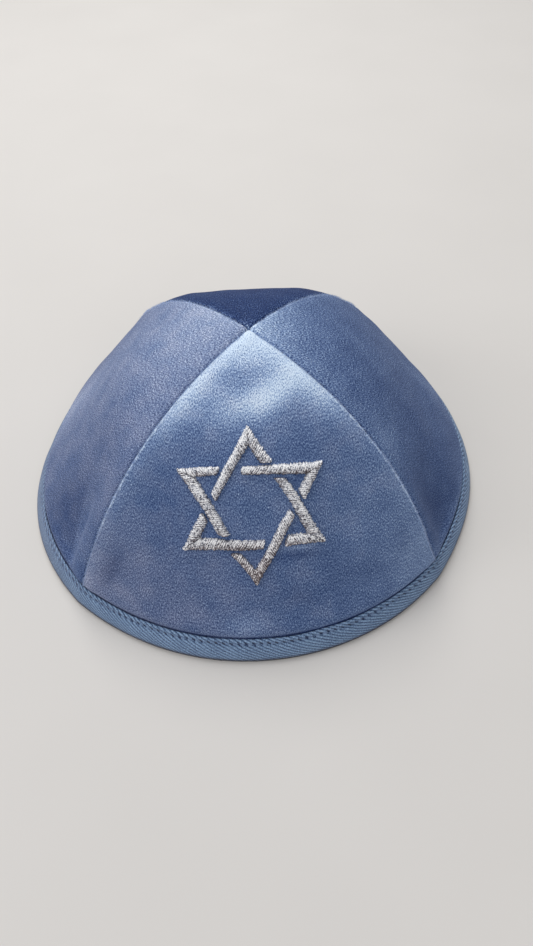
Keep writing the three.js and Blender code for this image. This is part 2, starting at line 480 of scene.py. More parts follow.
# Strokes of painted light and shade on the nap: highlights where the pile turns light back, shade in its folds.
# Each is a place across and up the cloth, the reach along and across the stroke, its turn in degrees and its
# change of tone. A sharp one, at a fold, starts within that many millimetres and fades on one side only.
Stroke = namedtuple("Stroke", "across along long short turn change sharp", defaults=(None,))
NAP_LIGHT_STROKES = {
    "front": [
        Stroke(0, 108, 16, 25, 90, 0.48),
        Stroke(-5, 93, 8, 3.5, 15, -0.07),
        Stroke(-21, 86, 16, 6, 52, 0.33),
        Stroke(20, 86, 15, 6, -52, 0.33),
        Stroke(6, 86, 10, 5.5, 30, 0.27),
        Stroke(-1, 83, 12, 5, 20, 0.20),
        Stroke(-10, 84, 8, 5, 60, 0.08),
        Stroke(0, 76, 30, 6, 0, 0.03),
        Stroke(-56, 14, 16, 12, 0, 0.05),
        Stroke(56, 14, 14, 14, 0, 0.12),
        Stroke(34, 46, 22, 12, 105, 0.06),
        Stroke(-29, 52, 14, 8, 70, -0.03),
        Stroke(-44, 36, 14, 8, 60, 0.02),
        Stroke(50, 34, 14, 7, 105, 0.06),
        Stroke(28, 23, 8, 6, 0, -0.04),
        Stroke(26, 71, 8, 6, -50, -0.04),
        Stroke(12, 37.3, 6, 0.9, -6, 0.14),
        Stroke(11, 34.8, 6, 1.3, -6, -0.12),
        Stroke(12, 21, 8, 3, -25, -0.06),
        Stroke(-5.5, 12.5, 7, 4, 10, 0.13),
        Stroke(-51, 22, 9, 3, 60, -0.12),
        Stroke(1, 50, 13, 10, 0, 0.025),
    ],
    "right": [
        Stroke(0, 112, 18, 18, 90, 0.30),
        Stroke(-46, 24, 20, 11, 70, -0.08),
        Stroke(-18, 52, 24, 9, 75, -0.03),
        Stroke(16, 92, 14, 8, -40, 0.05),
        Stroke(-36, 57, 10, 8, 60, 0.10),
        Stroke(-18, 82, 10, 6, 60, 0.04),
        Stroke(14, 16, 20, 14, 90, 0.10),
        Stroke(-40, 9, 30, 3.5, 0, 0.14),
    ],
    "back": [
        Stroke(0, 113, 7, 5, 0, 0.16),
    ],
    "left": [
        Stroke(-8, 96, 20, 22, 90, 0.10),
        Stroke(-14, 18, 28, 15, 84, 0.20),
        Stroke(24, 54, 14, 12, 90, -0.06),
        Stroke(40, 44, 24, 10, 70, -0.03),
        Stroke(34, 18, 14, 9, 90, -0.05),
        Stroke(48, 22, 20, 15, 124, -0.10, 0.9),
    ],
}


def velvet(panel):
    look = VELVET_LOOKS[panel.name]
    shader = Shader("velvet_" + panel.name)
    cloth = shader.cloth_point()
    across, along, _ = shader.split(cloth)
    grain = shader.speckle(shader.stretched(cloth, (1, 0.6, 1)), 0.36, 1.0, 0.7, 0.15)
    pile = shader.speckle(shader.stretched(cloth, (1, 0.5, 1)), 0.26, 1.0, 0.6)
    flecks = shader.speckle(cloth, 0.9, 1.0).ramp(0.70, 0.80)
    patches = shader.speckle(cloth, 9.0)
    height = shader.split(shader.object_point())[2]
    # The panel's painted light and shade: its even tone and how that changes with height
    tone = look.tone + look.rise * height.ramp(*look.between)
    tone = tone + (patches - 0.5) * 0.20
    # Painted highlights and shade of the nap, one stroke after another
    for stroke in NAP_LIGHT_STROKES[panel.name]:
        turn = math.radians(stroke.turn)
        right = across - stroke.across
        up = along - stroke.along
        long_way = right * math.cos(turn) + up * math.sin(turn)
        short_way = up * math.cos(turn) - right * math.sin(turn)
        mark = long_way.hill(0, stroke.long) * short_way.hill(0, stroke.short) * stroke.change
        if stroke.sharp:
            mark = mark * short_way.ramp(-stroke.sharp, stroke.sharp)
        tone = tone + mark
    # Painted highlights along the seam edges, where the pile fans out at the fold and catches the light, and
    # painted light or shade on the cloth beside them
    jagged = shader.speckle(cloth, 0.8, 2.0, 0.7)
    speck_along = shader.speckle(cloth, 2.4, 2.0, 0.7)
    broken = 0.12 + height.ramp(20, 44) * speck_along.ramp(0.40, 0.62) * 1.1
    for name, strength, beside in zip(("to_first_seam", "to_second_seam"), look.seams, look.beside):
        distance = shader.attribute(name)
        line = (distance + (jagged - 0.5) * 2.2).hill(0.55, 0.36)
        tone = tone + line * broken * strength + distance.hill(0, 4.5) * beside
    # Painted shade in the fold where the velvet tucks in under the tape
    tone = tone - 0.6 * speck_along * (1 - height.ramp(TAPE_TOP + 0.1, TAPE_TOP + 0.9))
    rough = ((grain - 0.5) * (1.15 + 0.9 * tone) + (pile - 0.5) * 0.7) * look.grain
    tone = (tone + rough + flecks * 0.12).clamped()
    high_grey, low_grey = look.grey
    low_down = 1 - height.ramp(15, 50)
    grey = high_grey + (low_grey - high_grey - across * look.lean) * low_down + (patches - 0.5) * 1.2
    blue_cloth = shader.colour_ramp(tone, BLUE_TONES)
    grey_cloth = shader.colour_ramp(tone, GREY_TONES)
    return shader.finish(
        Base_Color=shader.mixed(grey.clamped(), blue_cloth, grey_cloth),
        Roughness=0.95 - 0.3 * tone,
        Normal=shader.bump(grain * 0.7 + pile * 0.3, 0.2 * MM, 0.8),
        Sheen_Weight=look.sheen,
        Sheen_Roughness=0.45,
        Sheen_Tint=screen_colour(196, 206, 230),
        Specular_IOR_Level=0.25,
    )


def woven(name, dark, light, pitch=0.45):
    """A plain weave for the side that touches the head."""
    shader = Shader(name)
    across, along, _ = shader.split(shader.cloth_point())
    warp = (across * (math.pi / pitch)).maths("SINE").maths("ABSOLUTE")
    weft = (along * (math.pi / pitch)).maths("SINE").maths("ABSOLUTE")
    column = (across / pitch).maths("FLOOR")
    row = (along / pitch).maths("FLOOR")
    over = ((column + row) * 0.5).maths("FRACT") * 2
    threads = over * warp + (1 - over) * weft
    wear = shader.speckle(shader.object_point(), 14.0, 3.0)
    mask = (threads * 0.7 + (wear - 0.5) * 0.5).clamped()
    return shader.finish(
        Base_Color=shader.mixed(mask, screen_colour(*dark), screen_colour(*light)),
        Roughness=0.9 - 0.12 * mask,
        Normal=shader.bump(threads, 0.12 * MM, 0.7),
        Sheen_Weight=0.08,
        Specular_IOR_Level=0.25,
    )


TWILL_PITCH = 0.92
TWILL_TURN = math.radians(24)
FLOAT_LENGTH = 1.1
STITCH_DASH_TILT = 1.3


def twill_tape():
    shader = Shader("twill_tape")
    cloth = shader.cloth_point()
    across, along, _ = shader.split(cloth)
    wobble = (shader.speckle(cloth, 5.0) - 0.5) * 0.5
    rib_phase = (across * math.sin(TWILL_TURN) + along * math.cos(TWILL_TURN)) / TWILL_PITCH + wobble
    rib = (rib_phase * math.pi).maths("SINE").maths("ABSOLUTE")
    float_phase = (across * math.cos(TWILL_TURN) - along * math.sin(TWILL_TURN)) / FLOAT_LENGTH
    floats = ((float_phase + rib_phase.maths("FLOOR") * 0.37) * 2 * math.pi).maths("SINE") * 0.5 + 0.5
    thread = rib ** 0.8 * (0.88 + 0.12 * floats)
    fuzz = shader.speckle(cloth, 0.45, 2.0, 0.7)
    patches = shader.speckle(cloth, 7.0, 3.0)
    # The stitch holes: sunk in the bump, and painted darker for the shade that falls into them
    phase = (across / STITCH_PITCH + 0.5).maths("FRACT") - 0.5
    near_hole = 1 - phase.maths("ABSOLUTE").ramp(0.12, 0.30)
    pull = shader.speckle(cloth, 3.2, 2.0, 0.7).ramp(0.32, 0.58)
    dash = (along + phase * STITCH_DASH_TILT - STITCH_LEVEL).hill(0, 0.42)
    dark = near_hole * dash * (0.35 + 0.65 * pull)
    # Painted highlight on the ribs along the top edge, with a little painted shade in its fold
    edge = along.ramp(TAPE_TOP - 0.8, TAPE_TOP)
    # Painted light: the tape is paler and greyer on its far left side, which faces the light
    left_side_light = 1 - shader.split(shader.object_point())[0].ramp(-82, -50)
    # Painted shade towards the foot of the tape, near the floor
    foot = along.ramp(-2.5, -0.5) * (1 - along.ramp(0.3, 2.2))
    tone = 0.24 + 0.52 * thread + (fuzz - 0.5) * 1.7 + (patches - 0.5) * 0.3 - dark * 0.85
    tone = (tone + edge * thread * 0.10 - edge * 0.04 - foot * 0.25).clamped()
    stops = colour_stops((0.0, 0.45, 1.0), (22, 42, 80), (92, 118, 155), (160, 190, 223))
    blue = shader.colour_ramp(tone, stops)
    # Painted shade greys the foot, painted light pales the far left side, and a painted shadow darkens the line
    # where the tape meets the floor
    tape_light_and_shade = shader.mixed(foot * 0.6, blue, screen_colour(78, 76, 86))
    tape_light_and_shade = shader.mixed(left_side_light * 0.35, tape_light_and_shade, screen_colour(98, 97, 118))
    tape_light_and_shade = shader.mixed(along.hill(0.3, 0.75) * 0.9, tape_light_and_shade, screen_colour(46, 38, 36))
    return shader.finish(
        Base_Color=tape_light_and_shade,
        Roughness=0.82 - 0.12 * thread,
        Normal=shader.bump(thread * 0.9 + fuzz * 0.3 - dark * 0.9, 0.34 * MM, 0.9),
        Sheen_Weight=0.10,
        Sheen_Roughness=0.5,
        Specular_IOR_Level=0.35,
    )


def sewing_thread(name, dark, light, roughness=0.6):
    shader = Shader(name)
    point = shader.object_point()
    fine = shader.speckle(point, 0.4, 2.0, 0.6)
    wide = shader.speckle(point, 6.0)
    tone = (0.5 + (fine - 0.5) * 1.1 + (wide - 0.5) * 0.6).clamped()
    return shader.finish(
        Base_Color=shader.mixed(tone, screen_colour(*dark), screen_colour(*light)),
        Roughness=roughness,
        Normal=shader.bump(fine, 0.08 * MM, 0.6),
        Sheen_Weight=0.15,
    )


def silver_thread():
    shader = Shader("silver_thread")
    point = shader.object_point()
    facing_up = shader.split(shader.node("ShaderNodeNewGeometry").out("Normal"))[2]
    grains = shader.speckle(point, 0.34, 2.0, 0.6)
    # Painted glints of the metal thread
    glints = shader.speckle(point, 0.65, 1.0, 0.5)
    wide = shader.speckle(point, 6.0)
    shade = shader.attribute("shade")
    side, _, height = shader.split(point)
    # Painted warm reflection of the floor, strongest low on the star towards its bottom point
    warm_reflection = side.hill(0, 14) * height.hill(STAR_FOOT, 12)
    tone = 0.03 + shade + (grains - 0.5) * 3.8 + (glints - 0.5) * 2.0 + (wide - 0.5) * 0.3
    # Painted shade on the thread sides that face down, and low on the star where the warm reflection is painted
    tone = (tone - 0.12 * (1 - facing_up.ramp(-0.5, 0.35)) - 0.42 * warm_reflection).clamped()
    # Threads turn brown where the reflection is painted and on the shaded side of each bar
    brown_reflection_and_shade = (warm_reflection + 0.7 * (1 - shade.ramp(0.28, 0.6))).clamped()
    places = (0.0, 0.25, 0.55, 0.9)
    cool = colour_stops(places, (58, 58, 68), (112, 115, 128), (188, 192, 204), (255, 255, 255))
    brown = colour_stops(places, (70, 54, 56), (128, 114, 116), (196, 186, 188), (255, 252, 250))
    return shader.finish(
        Base_Color=shader.mixed(brown_reflection_and_shade, shader.colour_ramp(tone, cool), shader.colour_ramp(tone, brown)),
        Roughness=0.5 - 0.2 * tone,
        Normal=shader.bump(grains, 0.1 * MM, 0.6),
        Specular_IOR_Level=0.7,
    )


# Panels

PANEL_ROWS = 150
PANEL_COLUMNS = 120
SEAM_STEPS = [0, 0.12, 0.28, 0.48, 0.72, 1.0, 1.35, 1.8, 2.4]
SEAM_STEPS_FROM = 14.0
SEAM_ROLL = 1.1
SEAM_SWELL = 0.22
SEAM_SWELL_AT = 3.2

# Dents beside a seam: distances run along the cloth from the seam, levels up from the rim
Dent = namedtuple("Dent", "seam near deepest far full_below none_above depth")
DENTS = {
    "left": [Dent("second", 6, 10, 28, 20, 40, 2.0)],
    "right": [Dent("first", 0, 11, 30, 18, 42, 1.6)],
}
# The low waves of the cloth: where in the noise each panel takes its own, then their length and height
WAVE_STARTS = {"front": 110, "right": 230, "back": 370, "left": 410}
BROAD_WAVE = (17, 0.45)
FINE_WAVE = (8, 0.14)


def seam_distances(panel, azimuth, radius):
    return radius * (azimuth - panel.start), radius * (panel.end - azimuth)


def soft_shape(panel, azimuth, radius, level):
    """How far the cloth lies inside the plain crown, without the roll into its seams."""
    inset = TUCK_INSET * (1 - smoothstep(level, TAPE_TOP - 0.3, TAPE_TOP + 1.9))
    inset += PUFF * hill(level, TAPE_TOP + 3, 2.0)
    first, second = seam_distances(panel, azimuth, radius)
    for dent in DENTS.get(panel.name, []):
        distance = first if dent.seam == "first" else second
        along = smoothstep(distance, dent.near, dent.deepest)
        along *= 1 - smoothstep(distance, dent.deepest, dent.far)
        up = 1 - smoothstep(level, dent.full_below, dent.none_above)
        inset += dent.depth * along * up * smoothstep(level, TAPE_TOP, TUCK_TOP)
    spot = Vector((math.cos(azimuth) * radius, math.sin(azimuth) * radius, level + WAVE_STARTS[panel.name]))
    broad = noise.noise(spot / BROAD_WAVE[0]) * BROAD_WAVE[1] * (1 - smoothstep(level, 30, 60))
    fine = noise.noise(spot / FINE_WAVE[0]) * FINE_WAVE[1]
    return inset + (broad + fine) * smoothstep(level, TAPE_TOP, TUCK_TOP + 6)


def seam_roll(distance):
    """The cloth turns down into a seam, after a low swell beside it."""
    roll = 0.0
    if distance < SEAM_ROLL:
        roll = SEAM_ROLL - math.sqrt(SEAM_ROLL ** 2 - (SEAM_ROLL - distance) ** 2)
    return roll - SEAM_SWELL * hill(distance, SEAM_SWELL_AT, 2.0)


def panel_azimuth(panel, column, radius):
    """Columns keep a few fixed distances from each seam where there is room, and are even between."""
    fixed = len(SEAM_STEPS) - 1
    half_length = max(radius * panel.half, 1e-6)
    squeeze = min(1.0, half_length / SEAM_STEPS_FROM)
    from_left = min(column, PANEL_COLUMNS - column)
    if from_left <= fixed:
        distance = SEAM_STEPS[from_left] * squeeze
    else:
        share = (from_left - fixed) / (PANEL_COLUMNS / 2 - fixed)
        distance = lerp(SEAM_STEPS[-1] * squeeze, half_length, share)
    angle = distance / half_length * panel.half
    return panel.start + angle if column <= PANEL_COLUMNS / 2 else panel.end - angle


def make_panel(panel, outer_cloth, inner_cloth):
    runs = [run_at_level(PANEL_EDGE) * (row / PANEL_ROWS) for row in range(PANEL_ROWS + 1)]
    mesh = grid_mesh(PANEL_COLUMNS, PANEL_ROWS)
    seam_layers = [mesh.verts.layers.float.new(name) for name in ("to_first_seam", "to_second_seam")]
    outer, outer_faces = second_layer(mesh)
    lengths = [0.0] * (PANEL_ROWS + 1)
    for row in range(PANEL_ROWS - 1, -1, -1):
        here = panel.meridian(panel.middle, runs[row])
        below = panel.meridian(panel.middle, runs[row + 1])
        lengths[row] = lengths[row + 1] + math.dist(here, below)
    uv_of = {}
    for vert in mesh.verts[:]:
        column, row = round(vert.co.x), round(vert.co.y)
        run = runs[row]
        azimuth = panel_azimuth(panel, column, seam_line(run)[0])
        radius, level = panel.meridian(azimuth, run)
        inset = soft_shape(panel, azimuth, radius, level)
        first, second = seam_distances(panel, azimuth, radius)
        inset += seam_roll(first) + seam_roll(second) if vert in outer else WALL
        vert.co = (panel.place(azimuth, run, inset)[0] + panel.stand) * MM
        vert[seam_layers[0]] = first
        vert[seam_layers[1]] = second
        uv_of[vert] = (radius * (azimuth - panel.middle) * MM, lengths[row] * MM)
    for face in mesh.faces:
        face.material_index = 0 if face in outer_faces else 1
    settle(mesh, uv_of, meets_itself=True)
    area = sum(face.calc_area() for face in mesh.faces if face.material_index == 0)
    piece = finished_piece("velvet_" + panel.name, "velvet", mesh, outer_cloth, inner_cloth)
    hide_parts(panel.name + "_panel")


# The fibres that stand up along a seam
FIBRES_PER_SEAM = 1800
FIBRE_LENGTH = 0.85
FIBRE_FROM_SEAM = (0.1, 0.95)
FIBRE_LEAN = 0.45
FIBRE_RADIUS = (0.04, 0.065)


def make_seam_fibres(panel, sides, material):
    draws = random.Random("fibres " + panel.name)
    lowest = run_at_level(TAPE_TOP + 0.3)
    roots = []
    for side in sides:
        for _ in range(FIBRES_PER_SEAM):
            run = draws.uniform(0.02, lowest)
            radius = seam_line(run)[0]
            distance = draws.uniform(*FIBRE_FROM_SEAM)
            angle = min(distance / radius, panel.half)
            azimuth = panel.start + angle if side == "first" else panel.end - angle
            wide, level = panel.meridian(azimuth, run)
            inset = soft_shape(panel, azimuth, wide, level) + seam_roll(distance)
            foot, head = panel.place(azimuth, run, inset + 0.1, inset - 1)
            out = (head - foot).normalized()
            lean = Vector([draws.gauss(0, FIBRE_LEAN) for _ in range(3)])
            way = (out + lean).normalized()
            length = FIBRE_LENGTH * draws.uniform(0.5, 1.15)
            thick = draws.uniform(*FIBRE_RADIUS)
            roots.append((foot + panel.stand, way.to_track_quat("Z", "Y"), length, thick))
    stamp = bmesh.new()
    bmesh.ops.create_cone(stamp, cap_ends=True, segments=3, radius1=1, radius2=0.25, depth=1)
    bmesh.ops.translate(stamp, verts=stamp.verts, vec=(0, 0, 0.5))

    def shape(copy, point):
        foot, turn, length, thick = roots[copy]
        return foot + turn @ Vector((point.x * thick, point.y * thick, point.z * length))

    mesh = stamped_mesh(stamp, len(roots), shape)
    finished_piece("seam_pile_" + panel.name, "velvet", mesh, material, smooth=False)


# Rim tape: the top of its outer face, where its UV map is as high as the tape, and its section, both as a depth
# into the rim and a level. The section runs from the inside of the outer arm round the rim.
TAPE_FACE_TOP = (0.0, 7.30)
TAPE_SECTION = [
    (0.70, 4.5), (0.70, 7.30), (0.66, 7.58), (0.54, 7.74), (0.36, 7.80), (0.18, 7.74), (0.05, 7.58),
    (0.0, 7.30), (0.01, 6.95), (0.09, 6.62), (0.17, 6.35), (0.09, 6.08), (-0.01, 5.7), (-0.07, 5.0),
    (-0.13, 4.3), (-0.13, 3.4), (-0.09, 2.4), (-0.02, 1.5), (0.10, 0.8), (0.32, 0.28), (0.70, 0.02),
    (1.3, 0.0), (2.4, 0.0), (3.0, 0.02), (3.38, 0.28), (3.60, 0.8), (3.72, 1.5), (3.79, 2.4),
    (3.83, 3.4), (3.83, 4.4), (3.77, 5.0), (3.71, 5.7), (3.61, 6.08), (3.53, 6.35), (3.61, 6.62),
    (3.70, 6.95), (3.70, 7.30), (3.65, 7.58), (3.52, 7.74), (3.34, 7.80), (3.16, 7.74), (3.04, 7.58),
    (3.0, 7.30), (3.0, 4.5), (3.0, 1.0), (0.7, 1.0),
]
RING_STEPS = STITCHES_ROUND * STEPS_PER_STITCH
TAPE_PULL = 0.10
TAPE_SWAY = 0.16


def rim_spot(azimuth, inset, level):
    """A place on the rim, from a depth into it and a level, in millimetres."""
    panel, turned = panel_at(azimuth)
    return panel.place(turned, run_at_level(level), inset)[0]


def pucker(azimuth):
    """The stitches draw the tape in, and it swells a little between them."""
    return 0.5 - 0.5 * math.cos(azimuth * STITCHES_ROUND)


def make_rim_tape(material):
    count = len(TAPE_SECTION)
    runs = [run_at_level(level) for _, level in TAPE_SECTION]
    lengths = [0.0]
    for here, after in zip(TAPE_SECTION, TAPE_SECTION[1:] + TAPE_SECTION[:1]):
        lengths.append(lengths[-1] + math.dist(here, after))
    top_length = lengths[TAPE_SECTION.index(TAPE_FACE_TOP)]
    mesh = grid_mesh(RING_STEPS, count)
    uv_of = {}
    start = PANELS["front"].start
    for vert in mesh.verts:
        step, corner = round(vert.co.x), round(vert.co.y)
        azimuth = start + 2 * math.pi * step / RING_STEPS
        inset, level = TAPE_SECTION[corner % count]
        panel, turned = panel_at(azimuth)
        near_stitch = hill(level, STITCH_LEVEL, 0.5)
        out = 1 if inset < TAPE_FULL / 2 else -1
        turning = 2 * math.pi * (step % RING_STEPS) / RING_STEPS
        inset += out * (TAPE_PULL * near_stitch * (1 - pucker(azimuth)))
        sway = Vector((math.cos(turning), math.sin(turning), 0)) * 9
        inset += noise.noise(sway) * TAPE_SWAY * smoothstep(level, 0.5, 3)
        spot = panel.place(turned, runs[corner % count], inset)[0]
        vert.co = spot * MM
        along = TAPE_FACE_TOP[1] + top_length - lengths[corner]
        uv_of[vert] = (RIM_LENGTH * step / RING_STEPS * MM, along * MM)
    settle(mesh, uv_of, meets_itself=True)
    piece = finished_piece("rim_tape", "rim_tape", mesh, material)
    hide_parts("rim_binding")


# A stitch of the topstitching: half its length as a share of the pitch, half its width and thickness, how
# deep its middle line lies and how far that bows out
STITCH_HALF_LENGTH = 0.37
STITCH_HALF_WIDTH = 0.21
STITCH_HALF_THICK = 0.19
STITCH_DEPTH = 0.17
STITCH_BOW = 0.10


def make_topstitching(material):
    pitch = 2 * math.pi / STITCHES_ROUND
    start = PANELS["front"].start

    def shape(copy, point):
        number, inside = copy // 2, copy % 2
        azimuth = start + (number + 0.5) * pitch + point.x * (STITCH_HALF_LENGTH * pitch)
        depth = STITCH_DEPTH - STITCH_BOW * (1 - point.x ** 2) - point.z * STITCH_HALF_THICK
        inset = TAPE_FULL - depth if inside else depth
        return rim_spot(azimuth, inset, STITCH_LEVEL + point.y * STITCH_HALF_WIDTH)

    mesh = stamped_mesh(ball(8, 6), STITCHES_ROUND * 2, shape)
    finished_piece("rim_topstitching", "rim_tape", mesh, material)


# Inside: a narrow tape covers each seam and is stitched down along both sides
COVER_HALF = 5.2
COVER_THICK = 0.55
COVER_COLUMNS = 12
COVER_ROWS = 90
COVER_UV_LENGTH = 115
COVER_FOOT = 4.0
COVER_STITCHES = 40
# Half a stitch of a tape: its width, its share of the run and its thickness
COVER_STITCH_HALF = (0.2, 0.0085, 0.16)
CROWN_COVER_RUN = 0.056
CROWN_COVER_LIFT = 0.12
CROWN_COVER_HALF_THICK = 0.28


def cover_spot(azimuth, run, aside, depth):
    """A place on the inner side of the crown, given sideways from a seam and inwards from the cloth."""
    radius = seam_line(run)[0]
    turned = azimuth + aside / max(radius, 3.0)
    panel, here = panel_at(turned)
    wide, level = panel.meridian(here, run)
    inset = soft_shape(panel, here, wide, level) + WALL
    return panel.place(here, run, inset + depth)[0]


def make_seam_cover(panel, cloth, thread):
    seam = panel.start
    lowest = run_at_level(COVER_FOOT)
    mesh = grid_mesh(COVER_COLUMNS, COVER_ROWS)
    top, _ = second_layer(mesh)
    uv_of = {}
    for vert in mesh.verts[:]:
        across = vert.co.x / COVER_COLUMNS * 2 - 1
        run = lerp(0.03, lowest, vert.co.y / COVER_ROWS)
        rounded = math.sqrt(max(1 - across ** 8, 0))
        depth = lerp(0.12, COVER_THICK, rounded) if vert in top else 0.05
        uv_of[vert] = (across * COVER_HALF * MM, run * COVER_UV_LENGTH * MM)
        vert.co = cover_spot(seam, run, across * COVER_HALF, depth) * MM
    settle(mesh, uv_of)
    piece = finished_piece("seam_cover_" + panel.name, "rim_tape", mesh, cloth)
    half_wide, half_run, half_thick = COVER_STITCH_HALF

    def shape(copy, point):
        number, side = copy // 2, copy % 2 * 2 - 1
        run = lerp(0.08, lowest - 0.03, (number + 0.5) / COVER_STITCHES)
        aside = side * (COVER_HALF - 1.0) + point.x * half_wide
        return cover_spot(seam, run + point.y * half_run, aside, COVER_THICK + point.z * half_thick)

    mesh = stamped_mesh(ball(6, 6), COVER_STITCHES * 2, shape)
    finished_piece("seam_cover_stitches_" + panel.name, "rim_tape", mesh, thread)


def make_crown_cover(cloth):
    """A small round of cloth over the ends of the four tapes, under the point where the seams meet."""

    def shape(copy, point):
        run = CROWN_COVER_RUN * math.hypot(point.x, point.y)
        depth = COVER_THICK + CROWN_COVER_LIFT + point.z * CROWN_COVER_HALF_THICK
        return cover_spot(math.atan2(point.y, point.x), run, 0, depth)

    mesh = stamped_mesh(ball(48, 16), 1, shape)
    mesh.loops.layers.uv.new("cloth")
    write_uvs(mesh, {vert: vert.co.xy for vert in mesh.verts})
    area = sum(face.calc_area() for face in mesh.faces) / 2
    width = max(vert.co.x for vert in mesh.verts) - min(vert.co.x for vert in mesh.verts)
    piece = finished_piece("seam_cover_crown", "rim_tape", mesh, cloth)


# Star: six like strokes, each a long and a short leg that meet in one point
STAR_POINTS = {
    "top": 0,
    "upper_right": -60,
    "lower_right": -120,
    "bottom": 180,
    "lower_left": 120,
    "upper_left": 60,
}
TABLE_STEPS = 2000
LEVEL_TABLE = [seam_line(step / TABLE_STEPS)[1] for step in range(TABLE_STEPS + 1)]


def run_from_table(level):
    low, high = 0, TABLE_STEPS
    while high - low > 1:
        middle = (low + high) // 2
        if LEVEL_TABLE[middle] > level:
            low = middle
        else:
            high = middle
    share = (LEVEL_TABLE[low] - level) / (LEVEL_TABLE[low] - LEVEL_TABLE[high])
    return (low + min(max(share, 0), 1)) / TABLE_STEPS


def unit(degrees):
    return Vector((math.cos(math.radians(degrees)), math.sin(math.radians(degrees))))


def turned_on_star(point, degrees):
    """Turns a stroke to its place in the star, where the bars bow a little as they were stitched."""
    spot = Matrix.Rotation(math.radians(degrees), 2) @ point
    spot = Vector((spot.x, spot.y * STAR_SQUASH))
    low = 1 - smoothstep(spot.y, -13, -3)
    bow = 0.45 * low + 0.85 * low * hill(spot.x, -1, 11) * hill(spot.y, -12, 6)
    right = 0.9 * hill(spot.x, 12, 8) * hill(spot.y, 5, 9)
    left = 0.9 * hill(spot.x, -9, 8) * hill(spot.y, -10, 7)
    raised = 0.5 * hill(spot.x, -14, 8) * hill(spot.y, 11, 5)
    spot = Vector((spot.x + right - left, spot.y - bow + raised))
    return Matrix.Rotation(STAR_SPIN, 2) @ spot


def on_front(point, lift):
    """Puts a place on the star's own plane onto the front panel under it, and lifts it off the cloth."""
    panel = PANELS["front"]
    start = Vector((STAR_SIDEWAYS + point.x, -STAR_FORWARD, STAR_LEVEL)) + STAR_UP * point.y

    def bearing(spot):
        share = spot.z / CROWN_HEIGHT
        x = spot.x - CROWN_LEAN[0] * share
        y = spot.y - CROWN_LEAN[1] * share
        return math.atan2(y, x), math.hypot(x, y), run_from_table(spot.z)

    low, high = -8.0, 8.0
    for _ in range(16):
        middle = (low + high) / 2
        azimuth, radius, run = bearing(start + STAR_NORMAL * middle)
        if radius < panel.meridian(azimuth, run)[0]:
            low = middle
        else:
            high = middle
    azimuth, _, run = bearing(start + STAR_NORMAL * low)
    radius, level = panel.meridian(azimuth, run)
    inset = soft_shape(panel, azimuth, radius, level)
    return panel.place(azimuth, run, inset - lift)[0]


class Leg:
    """One bar of a stroke: a band from its cut end to the mitre at the tip, narrowing to the end."""

    def __init__(self, facing, shape, reach, tip_facing, tip_width):
        self.width, self.taper, shortening, self.slant = shape
        self.tip_width = tip_width
        self.normal = unit(facing)
        self.tangent = Vector((self.normal.y, -self.normal.x))
        self.tip_normal = unit(tip_facing)
        self.toward_tip = math.copysign(1, self.tip_limit(0) - reach)
        self.reach = reach + self.toward_tip * shortening
        ends = self.limits(0) + self.limits(0.5) + self.limits(1)
        self.first = min(ends)
        self.last = max(ends)

    def tip_limit(self, across):
        away = STAR_RADIUS / 2 - across * self.tip_width
        away -= (STAR_RADIUS / 2 - across * self.width) * self.normal.dot(self.tip_normal)
        return away / self.tangent.dot(self.tip_normal)

    def limits(self, across):
        """Where the two ends lie along the bar, at a place across it."""
        end = self.reach - self.slant * (across - 0.5) * self.width
        end += self.toward_tip * END_ROUNDING * abs(2 * across - 1) ** 3
        return sorted((end, self.tip_limit(across)))

    def spot(self, across, along):
        share = (self.tip_limit(0) - along) / (self.tip_limit(0) - self.reach)
        width = self.width - self.taper * smoothstep(share, 0.1, 1)
        return self.normal * (STAR_RADIUS / 2 - across * width) + self.tangent * along


# For the long and the short leg of each stroke: its width, how much of that it loses on the inner side
# by its end, how far the end falls short, and the slant of the end. A mitred end follows the bar it meets.
MITRE = 0.577
LEG_SHAPES = {
    "top": ((3.2, 0.7, 0.9, MITRE), (2.9, -0.5, 0.0, MITRE)),
    "upper_right": ((3.7, 1.1, 1.0, 0.1), (3.4, 0.0, 0.0, MITRE)),
    "lower_right": ((3.6, 0.7, 0.1, MITRE), (3.5, 0.0, 0.3, 0.3)),
    "bottom": ((3.0, 0.1, 0.2, 0.5), (2.6, 0.0, 0.0, MITRE)),
    "lower_left": ((3.9, 1.2, 0.5, 0.3), (3.5, 0.0, 0.0, MITRE)),
    "upper_left": ((3.6, 0.5, 0.2, MITRE), (3.4, 0.8, 0.1, 0.3)),
}
LONG_REACH = -3.46
SHORT_REACH = -9.1
END_ROUNDING = 0.45
THREAD_PITCH = 0.36
THREAD_RADIUS = 0.21
# How much lighter the side of a bar that faces up is painted, and the side that faces down darker
EDGE_LIGHT = 0.46
THREAD_SLANTS = (-1.9, 1.9)
THREAD_STEPS = 7
# Every other thread lies higher, some ends are ragged, the painted light and shade of a thread keeps within a
# range, and a bar is lower at its edges
THREAD_OVER = 0.14
RAGGED_END = (-0.02, 0.11)
SHADE_RANGE = (0.28, 1.1)
BAR_EDGE = 0.30
LIMIT_STEPS = 40
PADDING_COLUMNS = 10
PADDING_ROWS = 24


def legs_of(name):
    long_shape, short_shape = LEG_SHAPES[name]
    return [
        Leg(150, long_shape, LONG_REACH, 30, short_shape[0]),
        Leg(30, short_shape, SHORT_REACH, 150, long_shape[0]),
    ]


def bar_height(across):
    rounded = 1 - abs(2 * across - 1) ** 2.6
    return BAR_EDGE + (BAR_RELIEF - BAR_EDGE) * max(rounded, 0) ** 0.6


